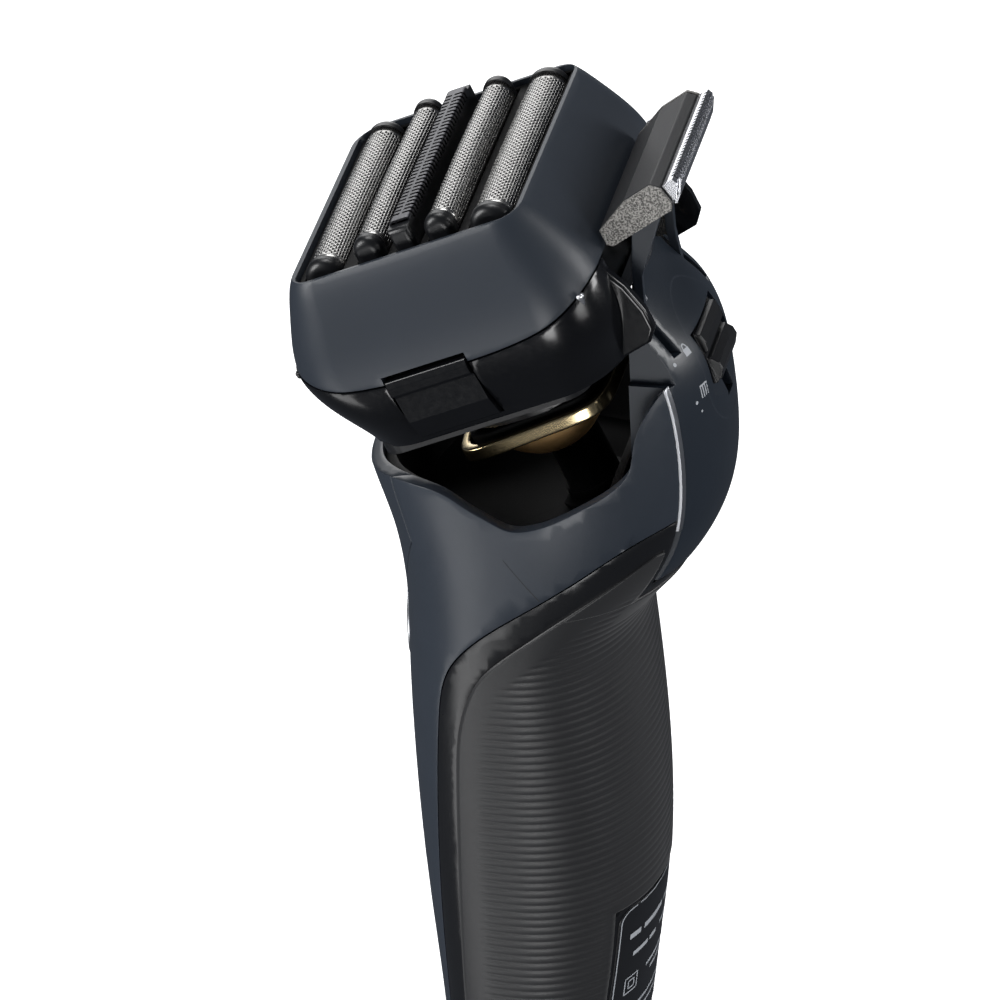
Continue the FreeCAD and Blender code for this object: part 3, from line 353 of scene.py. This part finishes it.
def perforated_foil(name, y, radius, top, pitch_x=0.92, pitch_v=0.42):
    """Flat tiles in x (along) and v (round the arch), then v wrapped on leg, half circle and leg."""
    length = 2 * LEG + math.pi * radius
    band = 0.9
    columns = int((2 * FOIL_HALF - 2 * band) / pitch_x)
    x0 = -columns * pitch_x / 2
    start = LEG - 0.9
    rows = int((math.pi * radius + 1.8) / pitch_v) // 2 * 2
    pitch_v = (math.pi * radius + 1.8) / rows
    ring = tile_rings()
    quads = []
    for row in range(rows):
        shift = 0.5 * (row % 2)
        count = columns - row % 2
        low = start + row * pitch_v
        corner = np.stack([x0 + (np.arange(count) + shift) * pitch_x, np.full(count, low)], -1)
        outer = corner[:, None] + ring * (pitch_x, pitch_v)
        middle = corner[:, None] + np.array([0.5 * pitch_x, 0.5 * pitch_v])
        spoke = outer - middle
        angles = np.arctan2(spoke[..., 1], spoke[..., 0])
        front = row < rows * 0.42
        reach = opening(angles, *(SLIT if front else HOLE))
        inner = middle + reach[..., None] * np.stack([np.cos(angles), np.sin(angles)], -1)
        after = np.roll(np.arange(8), -1)
        quads.append(np.stack([outer, outer[:, after], inner[:, after], inner], 2).reshape(-1, 4, 2))
        if row % 2:
            for side in (x0, x0 + (columns - 0.5) * pitch_x):
                for half in (0.0, 0.5):
                    box = [(side, low + half * pitch_v), (side + 0.5 * pitch_x, low + half * pitch_v),
                           (side + 0.5 * pitch_x, low + (half + 0.5) * pitch_v),
                           (side, low + (half + 0.5) * pitch_v)]
                    quads.append(np.array([box]))
        for a, b in ((-FOIL_HALF, x0), (-x0, FOIL_HALF)):
            for half in (0.0, 0.5):
                v0, v1 = low + half * pitch_v, low + (half + 0.5) * pitch_v
                quads.append(np.array([[(a, v0), (b, v0), (b, v1), (a, v1)]]))
    stops = np.concatenate([[-FOIL_HALF], x0 + np.arange(2 * columns + 1) * pitch_x / 2, [FOIL_HALF]])
    for v0, v1 in ((0.0, start), (start + rows * pitch_v, length)):
        quads.append(np.stack([np.stack([stops[:-1], np.full(len(stops) - 1, v0)], -1),
                               np.stack([stops[1:], np.full(len(stops) - 1, v0)], -1),
                               np.stack([stops[1:], np.full(len(stops) - 1, v1)], -1),
                               np.stack([stops[:-1], np.full(len(stops) - 1, v1)], -1)], 1))
    corners = np.concatenate(quads).reshape(-1, 2)
    flat, which = np.unique(np.round(corners, 4), axis=0, return_inverse=True)
    u, v = flat.T
    angle = np.clip((v - LEG) / radius, 0, math.pi)
    drop = np.minimum(v - LEG, 0) + np.minimum(length - LEG - v, 0)
    points = np.stack([u, y - radius * np.cos(angle),
                       top - radius + radius * np.sin(angle) + drop - BOW * (u / FOIL_HALF) ** 2], -1)
    made = piece(name + "_sheet", head(points), which.reshape(-1, 4).tolist(), foil_nickel, name + "_unit")
    thicken(made, 0.1)
    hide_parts(name)
    return made


for name, (y, radius, top) in FOILS.items():
    sheet = perforated_foil(name, y, radius, top)
    print(name, len(sheet.data.polygons), "faces")

# %% [markdown]
# ## The ring and the rocker
# Under the head a polished ring, nearly square with soft corners, frames a bead-blasted dome that
# rolls as the head pitches. Polished metal shows every facet, so both are drawn again here: the ring
# is a rounded section carried round a superellipse, and the dome a drum whose ends are drawn in.

# %% Ring and rocker
RING = (14.2, 13.2, -3.3, -1.0)      # half sizes, low and high face on the head, in mm
RING_DIP = math.radians(3.5)         # the ring's front hangs lower
DRUM = (10.8, 12.6, 0.9, 1.8)        # radius, half length, centre Y and Z on the head
DRUM_TOP = -3.4


def dipped(points):
    """Turns head points about X by the dip, then carries them to the shaver."""
    x, y, z = np.moveaxis(points, -1, 0)
    c, s = math.cos(RING_DIP), math.sin(RING_DIP)
    return head(np.stack([x, c * y - s * z, s * y + c * z], -1))


def superellipse(turn, half_x, half_y, power):
    """Signed powers of cosine and sine, scaled to the half sizes."""
    c, s = np.cos(turn), np.sin(turn)
    return (half_x * np.sign(c) * np.abs(c) ** (2 / power), half_y * np.sign(s) * np.abs(s) ** (2 / power))


def band(name, half_x, half_y, low, high, wall, soft, material, power=6.0, around=180, across=40):
    """A closed wall: its section is a superellipse too, set in from the outer line by half the wall."""
    turn = np.linspace(0, 2 * math.pi, around, endpoint=False)
    section = np.linspace(0, 2 * math.pi, across, endpoint=False)
    out, up = superellipse(section, wall / 2, (high - low) / 2, soft)
    x, y = superellipse(turn[:, None], half_x - wall / 2 + out, half_y - wall / 2 + out, power)
    points = np.stack([x, y, np.broadcast_to((low + high) / 2 + up, x.shape)], -1)
    i, j = np.meshgrid(np.arange(around), np.arange(across), indexing="ij")
    after_i, after_j = (i + 1) % around, (j + 1) % across
    faces = np.stack([i * across + j, after_i * across + j, after_i * across + after_j,
                      i * across + after_j], -1)
    return piece(name, dipped(points), faces.reshape(-1, 4).tolist(), material, "head")


def drum():
    """Radius is the cube root of one less the fifth power of the way to the end; the top is pressed flat."""
    radius, half, centre_y, centre_z = DRUM
    along, around = 90, 121
    side = np.sin(np.linspace(-math.pi / 2, math.pi / 2, along))
    reach = radius * np.maximum(1 - np.abs(side) ** 5, 0) ** (1 / 3)
    turn = np.linspace(-math.pi, math.pi, around)
    x = np.broadcast_to((half * side)[:, None], (along, around))
    y = centre_y + reach[:, None] * np.sin(turn)
    z = np.minimum(centre_z - reach[:, None] * np.cos(turn), DRUM_TOP)
    faces = grid_faces(along, around).tolist()
    return piece("rocker_dome", dipped(np.stack([x, y, z], -1)), faces, rocker_gold, "head")


ring = band("polished_ring", *RING, 1.5, 5.0, ring_gold)
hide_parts("neck_ring")
# The collar takes the same near-black, painted shade between the ring and the dome.
collar = band("rocker_collar", RING[0] - 1.9, RING[1] - 1.9, RING[2] - 0.4, 0.0, 1.2, 6.0, painted_shade_black)
dome = drum()
for made in (collar, dome):
    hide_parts("neck_rocker")
print("ring", len(ring.data.polygons), "faces, dome", len(dome.data.polygons), "faces")

# %% [markdown]
# ## Hooks between cover and frame
# The cover locks on four small hooks: two nubs at the front corners, and two bright wedges at the rear
# corners that show just under the cover's edge. Each is a small solid grid squeezed towards its tip.

# %% Hooks


def nub(name, centre, size, taper, material, body="head"):
    """A superellipsoid of power four, whose section shrinks by the taper towards its lower end."""
    rows, columns = 13, 24
    up = np.sin(np.linspace(-math.pi / 2, math.pi / 2, rows))[:, None]
    turn = np.linspace(0, 2 * math.pi, columns + 1)[None]
    reach = np.maximum(1 - up ** 4, 0) ** 0.25 * (1 - taper * (1 - up) / 2)
    x, y = superellipse(turn, 1.0, 1.0, 4.0)
    local = np.stack([x * reach, y * reach, np.broadcast_to(up, (rows, columns + 1))], -1)
    points = np.array(centre) + local * np.array(size) / 2
    return piece(name, head(points), grid_faces(rows, columns + 1).tolist(), material, body)


for side, word in ((1, "right"), (-1, "left")):
    nub("cover_hook_" + word, (side * 22.4, -24.9, 23.0), (1.5, 1.3, 1.2), 0.2, moulded_abs)
    nub("cover_catch_" + word, (side * 26.5, 23.6, 22.4), (1.3, 1.5, 1.9), 0.85, trimmer_steel)

# %% [markdown]
# ## The rubber grip
# The grip wraps the back of the handle. It is a moulding with fine level ribs about 1.4 mm apart,
# inside a smooth rim about 4 mm wide. The rubber follows the handle's own sections, so its surface is
# a grid: height up the handle, and the angle round it between the two edges of the rubber. The ribs
# are drawn in the mesh, by sinking narrow valleys between them.

# %% The handle's sections
# Height, half width, front Y, widest Y and back Y of the handle, in mm
SECTIONS = np.array([
    (0.0, 15.6, -12.2, 0.0, 11.6), (1.6, 17.6, -13.8, 0.0, 13.4), (6.0, 19.4, -15.0, 0.0, 15.0),
    (16.0, 20.8, -15.7, 0.2, 16.6), (40.0, 22.6, -17.2, 0.6, 19.8), (65.0, 23.6, -18.0, 0.8, 19.9),
    (80.0, 24.2, -17.9, 1.0, 18.8), (90.0, 25.0, -17.6, 1.6, 20.0), (98.0, 25.9, -17.9, 2.6, 26.6),
    (107.0, 26.8, -19.4, 3.6, 31.8), (118.0, 27.3, -22.7, 4.4, 33.2), (128.0, 27.0, -22.6, 4.8, 32.5),
    (139.0, 26.0, -22.4, 5.0, 28.3), (152.0, 24.5, -21.6, 5.0, 22.4)])
FRONT_POWER, REAR_POWER = 2.5, 2.1
EDGE = np.array([(-12.0, -2.0), (-12.4, 25.0), (-11.4, 60.0), (-10.2, 75.0), (-8.0, 85.0), (-3.4, 91.6),
                 (7.0, 100.0), (15.0, 105.6), (22.0, 109.8), (31.5, 112.0), (45.0, 113.0)])
EDGE = EDGE + np.stack([np.full(len(EDGE), 3.6), np.where(EDGE[:, 1] > 80, -2.88, 0.0)], -1)


def smooth_curve(at, knots, values):
    """Natural cubic spline: curvature solved from one linear system, then a cubic in each interval."""
    step = np.diff(knots)
    slope = np.diff(values) / step
    count = len(knots)
    system = np.eye(count)
    right = np.zeros(count)
    inner = np.arange(1, count - 1)
    system[inner, inner - 1] = step[:-1]
    system[inner, inner] = 2 * (step[:-1] + step[1:])
    system[inner, inner + 1] = step[1:]
    right[inner] = 3 * (slope[1:] - slope[:-1])
    bend = np.linalg.solve(system, right)
    i = np.clip(np.searchsorted(knots, at, side="right") - 1, 0, count - 2)
    t = at - knots[i]
    first = slope[i] - step[i] * (2 * bend[i] + bend[i + 1]) / 3
    return values[i] + first * t + bend[i] * t ** 2 + (bend[i + 1] - bend[i]) / (3 * step[i]) * t ** 3


def handle_point(angle, height, out=0.0):
    """Superellipse section at a height; the angle is 0 at +X, a quarter turn at the back."""
    half, front, middle, back = (smooth_curve(height, SECTIONS[:, 0], SECTIONS[:, k]) for k in (1, 2, 3, 4))
    c, s = np.cos(angle), np.sin(angle)
    power = np.where(s >= 0, REAR_POWER, FRONT_POWER)
    depth = np.where(s >= 0, back - middle, middle - front) + out
    x = np.sign(c) * np.abs(c) ** (2 / power) * (half + out)
    return np.stack([x, middle + np.sign(s) * np.abs(s) ** (2 / power) * depth, height + 0 * angle], -1)


def angle_at_y(y, height):
    """Angle on the right-hand side where the section reaches this Y."""
    front, middle, back = (smooth_curve(height, SECTIONS[:, 0], SECTIONS[:, k]) for k in (2, 3, 4))
    up = y >= middle
    part = np.clip(np.where(up, (y - middle) / (back - middle), (middle - y) / (middle - front)), 0, 1)
    return np.where(up, 1, -1) * np.arcsin(part ** (np.where(up, REAR_POWER, FRONT_POWER) / 2))


def angle_at_x(x, height):
    """Angle on the rear half where the section reaches this X."""
    half = smooth_curve(height, SECTIONS[:, 0], SECTIONS[:, 1])
    return np.arccos(np.clip(x / half, 0, 1) ** (REAR_POWER / 2))


# %% Ribs and rim
RIB = 1.4                    # distance between ribs
VALLEY = 0.14                # depth between ribs
RIM = 3.6                    # smooth border
GRIP_OUT = 0.35              # the rubber stands this far out of the shell
LABEL = (15.8, 10.0, 38.6)   # half width, low and high edge of the label's window in the rubber
PANEL_EDGE = 17.6            # the rubber stops at this X beside the rear panel
EAR = 97.0                   # above this the rubber is two ears beside the rear panel


def ramp(value, low, high):
    """0 below low, 1 above high, and a smooth S between."""
    t = np.clip((value - low) / (high - low), 0, 1)
    return t * t * (3 - 2 * t)


def to_edge(points):
    """Distance in side view from each point to the front edge of the rubber, over all its segments."""
    line = np.stack([smooth_curve(np.linspace(0, 10, 161), np.arange(11.0), EDGE[:, k]) for k in (0, 1)], -1)
    a, b = line[:-1], line[1:]
    flat = points.reshape(-1, 3)[:, None, 1:]
    t = np.clip(((flat - a) * (b - a)).sum(-1) / ((b - a) ** 2).sum(-1), 0, 1)
    gap = np.linalg.norm(flat - (a + t[..., None] * (b - a)), axis=-1).min(1)
    return gap.reshape(points.shape[:-1])


def edge_y(height):
    """Y of the rubber's front edge at a height."""
    line = np.stack([smooth_curve(np.linspace(0, 10, 400), np.arange(11.0), EDGE[:, k]) for k in (0, 1)], -1)
    return np.interp(height, line[:, 1], line[:, 0])


def ribbed(angle, height):
    """The grip's surface: valleys a narrow cosine power deep, faded out near every edge."""
    level = handle_point(angle, height, GRIP_OUT)
    fade = ramp(to_edge(level), RIM, RIM + 1.2) * ramp(height, 10.5, 12.0)
    inside_x = LABEL[0] + 1.4 - np.abs(level[..., 0])
    inside_z = np.minimum(height - LABEL[1] + 1.4, LABEL[2] + 1.4 - height)
    fade *= 1 - ramp(np.where(level[..., 1] > 0, np.minimum(inside_x, inside_z), -1), 0, 0.8)
    near_panel = np.minimum(height - EAR + 4.5, PANEL_EDGE + 1.6 - np.abs(level[..., 0]))
    fade *= 1 - ramp(np.where(level[..., 1] > 0, near_panel, -1), 0, 0.8)
    valley = (0.5 + 0.5 * np.cos(2 * math.pi * height / RIB)) ** 3
    return handle_point(angle, height, GRIP_OUT - VALLEY * valley * fade)


def between(low, high, count):
    """Columns of angles from one edge to the other, one row for each height."""
    return low[:, None] + (high - low)[:, None] * np.linspace(0, 1, count)


def skin(name, patches, parts):
    """Several grids as one sheet of rubber, welded where they meet."""
    points, faces, total = [], [], 0
    for patch in patches:
        rows, columns = patch.shape[:2]
        points.append(patch.reshape(-1, 3))
        faces.append(grid_faces(rows, columns, total))
        total += rows * columns
    corners = np.concatenate(points)
    unique, which = np.unique(np.round(corners, 4), axis=0, return_inverse=True)
    faces = which[np.concatenate(faces)]
    made = piece(name, unique, faces.tolist(), grip_rubber, "handle")
    thicken(made, 0.9)
    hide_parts(*parts)
    return made


def grip_patches():
    """Below the label, beside it, above it, and the two ears."""
    step = RIB / 6
    patches = []
    low, high = LABEL[1], LABEL[2]
    spans = [(8.0, low), (low, high), (high, EAR)]
    for z0, z1 in spans:
        rows = np.linspace(z0, z1, int((z1 - z0) / step) + 2)
        edge = angle_at_y(edge_y(rows), rows)
        label = angle_at_x(LABEL[0], rows)
        height = rows[:, None]
        patches.append(ribbed(between(edge, label, 34), height + np.zeros((1, 34))))
        if z0 != low:
            patches.append(ribbed(between(label, math.pi - label, 34), height + np.zeros((1, 34))))
        patches.append(ribbed(between(math.pi - label, math.pi - edge, 34), height + np.zeros((1, 34))))
    rows = np.linspace(EAR, 106.3, int(9.3 / step))
    edge = angle_at_y(edge_y(rows), rows)
    panel = np.maximum(angle_at_x(PANEL_EDGE, rows), edge + 0.002)
    height = rows[:, None]
    patches.append(ribbed(between(edge, panel, 20), height + np.zeros((1, 20))))
    patches.append(ribbed(between(math.pi - panel, math.pi - edge, 20), height + np.zeros((1, 20))))
    return patches


grip = skin("ribbed_grip", grip_patches(), ["grip_rubber"])
grip_box = np.array(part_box("grip_rubber")) / MM
print("grip", len(grip.data.polygons), "faces; the engineering part spans", np.round(grip_box, 1).tolist())

# %% [markdown]
# ## The printed marks
# The marks beside the slider and on the label are generic: dots, a padlock, a comb, plain bars. Pad
# printing lays a film of ink a few hundredths of a millimetre thick, so each mark is a thin sheet
# worked out flat and then wrapped onto the part under it, with Shrinkwrap, whose result is kept.

# %% Marks


def strip(path, width, closed=True):
    """A ribbon of this width along a flat path: each point moved half a width along its normal."""
    path = np.asarray(path, float)
    ahead = np.roll(path, -1, 0) - np.roll(path, 1, 0) if closed else np.gradient(path, axis=0)
    normal = np.stack([-ahead[:, 1], ahead[:, 0]], -1)
    normal /= np.linalg.norm(normal, axis=1, keepdims=True)
    rails = np.stack([path - normal * width / 2, path + normal * width / 2], 1)
    if closed:
        rails = np.concatenate([rails, rails[:1]])
    return rails


def dot(x, z, radius, count=20):
    """Disc as rings from a tiny middle to the rim."""
    angle = np.linspace(0, 2 * math.pi, count + 1)
    reach = np.array([0.02, 0.5, 1.0]) * radius
    return np.stack([x + reach[None] * np.cos(angle)[:, None], z + reach[None] * np.sin(angle)[:, None]], -1)


def block(x0, x1, z0, z1, steps=8):
    """Filled rectangle as a grid."""
    x, z = np.meshgrid(np.linspace(x0, x1, steps), np.linspace(z0, z1, steps), indexing="ij")
    return np.stack([x, z], -1)


def rounded(x0, x1, z0, z1, radius, count=12):
    """Rounded rectangle path."""
    turn = np.linspace(0, math.pi / 2, count)
    corners = [(x1 - radius, z1 - radius, 0), (x0 + radius, z1 - radius, 1), (x0 + radius, z0 + radius, 2),
               (x1 - radius, z0 + radius, 3)]
    arcs = [np.stack([x + radius * np.cos(turn + q * math.pi / 2),
                      z + radius * np.sin(turn + q * math.pi / 2)], -1)
            for x, z, q in corners]
    path = np.concatenate(arcs)
    dense = np.concatenate([np.linspace(a, b, 8, endpoint=False) for a, b in zip(path, np.roll(path, -1, 0))])
    return dense


def mark(name, grids, node, body, material, axis="Y", sign=1.0, lift=0.02):
    """Lays flat grids (across, up) on a part by shooting them along an axis, and lifts them a little off it.
    """
    points, faces, total = [], [], 0
    for flat in grids:
        rows, columns = flat.shape[:2]
        across, up = flat[..., 0], flat[..., 1]
        far = np.full(across.shape, 60.0 * sign)
        xyz = (across, far, up) if axis == "Y" else (far, across, up)
        points.append(np.stack(xyz, -1).reshape(-1, 3))
        faces.append(grid_faces(rows, columns, total))
        total += rows * columns
    made = piece(name, np.concatenate(points), np.concatenate(faces).tolist(), material, body)
    wrap = made.modifiers.new("Wrap", "SHRINKWRAP")
    wrap.target = nodes[node]
    wrap.wrap_method = "PROJECT"
    wrap.use_project_x = axis == "X"
    wrap.use_project_y = axis == "Y"
    wrap.use_positive_direction = True
    wrap.use_negative_direction = True
    wrap.offset = lift * MM
    view = bpy.context.evaluated_depsgraph_get()
    wrapped = bpy.data.meshes.new_from_object(made.evaluated_get(view))
    made.modifiers.clear()
    made.data = wrapped
    wrapped.shade_smooth()
    return made


def padlock(x, z, size):
    """Body block and an arched shackle."""
    angle = np.linspace(0, math.pi, 16)
    arch = np.stack([x + 0.3 * size * np.cos(angle), z + 0.1 * size + 0.42 * size * np.sin(angle)], -1)
    return [block(x - 0.45 * size, x + 0.45 * size, z - 0.6 * size, z + 0.1 * size),
            strip(arch, 0.14 * size, closed=False)]


def comb_icon(x, z, size):
    """A bar with four teeth."""
    teeth = [block(x - 0.5 * size + k * 0.29 * size, x - 0.5 * size + k * 0.29 * size + 0.13 * size,
                   z - 0.6 * size, z + 0.35 * size, 4) for k in range(4)]
    return [block(x - 0.5 * size, x + 0.5 * size, z + 0.35 * size, z + 0.5 * size, 6)] + teeth


panel_marks = [dot(12.95, 136.6, 0.3), dot(11.6, 129.4, 0.3), dot(10.8, 127.6, 0.22),
               *padlock(9.5, 137.4, 1.5), *comb_icon(9.3, 130.6, 1.9), *comb_icon(9.4, 146.0, 1.3)]
mark("panel_symbols", panel_marks, "back_panel", "handle", printed_ink)
track = rounded(-8.4, 8.4, 121.6, 143.0, 8.2)
mark("slider_track_line", [strip(track, 0.22)], "back_panel", "handle", lacquer_light)

label_marks = [strip(rounded(-14.6, 14.6, 11.4, 37.4, 2.0), 0.2), block(2.0, 9.0, 31.4, 32.4),
               block(10.0, 12.6, 31.4, 32.4, 5), block(4.0, 6.6, 27.6, 28.4, 5),
               block(7.2, 11.4, 27.6, 28.4, 5),
               strip(rounded(9.4, 12.4, 20.6, 23.6, 0.2), 0.24),
               strip(rounded(10.2, 11.6, 21.4, 22.8, 0.2), 0.24),
               block(-11.6, 6.6, 22.6, 23.2), block(-11.6, 4.6, 20.9, 21.5), block(-11.6, 1.0, 31.6, 32.2),
               block(-11.6, 2.0, 27.7, 28.3), block(-11.6, 11.4, 16.4, 16.9), block(-11.6, 8.4, 14.6, 15.1)]
mark("label_marks", label_marks, "rating_plate", "handle", printed_ink, lift=0.06)

# %% [markdown]
# ## The seams on the side
# A fine dark joint runs slanting across each side of the front shell, where two mould halves meet.

# %% Side seam
for side in (1.0, -1.0):
    seam = strip(np.linspace((2.5, 108.7), (7.6, 101.2), 24), 0.12, closed=False)
    mark("side_seam_" + ("right" if side > 0 else "left"), [seam], "front_shell", "handle", matt_nylon,
         axis="X", sign=side)

# %% [markdown]
# ## Stage
# The shaver stands on a plain white sheet under large soft boxes. The sheet is bright, so it is hidden
# from glossy, diffuse and shadow rays: black plastic would otherwise take its light and turn grey.

# %% Floor, light and camera


def soft_box(name, where, aim, width, height, watts, tint="ffffff"):
    """A rectangular lamp at a point in mm, facing another."""
    lamp = bpy.data.lights.new(name, "AREA")
    lamp.shape = "RECTANGLE"
    lamp.size, lamp.size_y = width * MM, height * MM
    lamp.energy = watts
    lamp.color = linear(tint)[:3]
    made = bpy.data.objects.new(name, lamp)
    made.location = Vector(where) * MM
    made.rotation_euler = (Vector(aim) - Vector(where)).to_track_quat("-Z", "Y").to_euler()
    made.visible_camera = False
    bpy.context.scene.collection.objects.link(made)
    return made


floor_paper = finish("white backdrop paper", "ffffff", 0.9, grain=3.0, rough_spread=0.05,
                     Emission_Color=(1, 1, 1, 1), Emission_Strength=0.55)
span = 9000.0
floor = bpy.data.objects.new("floor", bpy.data.meshes.new("floor"))
floor.data.from_pydata([(-span * MM, -span * MM, 0), (span * MM, -span * MM, 0), (span * MM, span * MM, 0),
                        (-span * MM, span * MM, 0)], [], [(0, 1, 2, 3)])
floor.data.materials.append(floor_paper)
bpy.context.scene.collection.objects.link(floor)
floor.visible_glossy = False
floor.visible_diffuse = False
floor.visible_shadow = False

AIM = (0.0, 0.0, 110.0)
soft_box("key", (500, -900, 520), AIM, 420, 700, 11)
soft_box("top", (-350, -150, 1100), AIM, 500, 420, 5)
soft_box("rear_rim", (-300, 1000, 520), AIM, 300, 600, 6)
soft_box("table_bounce", (500, -420, -380), AIM, 400, 400, 1.4)
soft_box("low_side", (900, 120, -160), (0, -4, 112), 320, 420, 3.5)
soft_box("rear_side", (420, 900, 260), AIM, 300, 500, 2.2)
soft_box("far_fill", (-1000, -300, 400), AIM, 600, 800, 4)

sky = bpy.data.worlds.new("studio")
sky.use_nodes = True
bpy.context.scene.world = sky
tree = sky.node_tree
seen = add(tree, "ShaderNodeLightPath").outputs["Is Camera Ray"]
room = add(tree, "ShaderNodeMix", {"Factor": seen, "A": (0.06, 0.065, 0.075, 1), "B": (1, 1, 1, 1)},
           data_type="RGBA")
tree.links.new(room.outputs["Result"], tree.nodes["Background"].inputs["Color"])
tree.nodes["Background"].inputs["Strength"].default_value = 1.0
bpy.context.scene.view_settings.view_transform = "Standard"

TARGET = Vector((0.0, -4.0, 102.4))
TOWARDS = Vector((0.82868, 0.20257, 0.52177))
RIGHT = Vector((-0.21034, 0.97659, -0.04507))
UP = Vector((-0.51869, -0.07240, 0.85189))
DISTANCE = 1400.0
SENSOR_WIDTH = 36.0
FOCAL_LENGTH = 329.1
lens = bpy.data.cameras.new("camera")
lens.sensor_width = SENSOR_WIDTH
lens.lens = FOCAL_LENGTH
lens.clip_start, lens.clip_end = 0.05, 40.0
camera = bpy.data.objects.new("camera", lens)
axes = Matrix((RIGHT, UP, TOWARDS)).transposed().to_4x4()
camera.matrix_world = Matrix.Translation((TARGET + TOWARDS * DISTANCE) * MM) @ axes
bpy.context.scene.collection.objects.link(camera)
bpy.context.scene.camera = camera
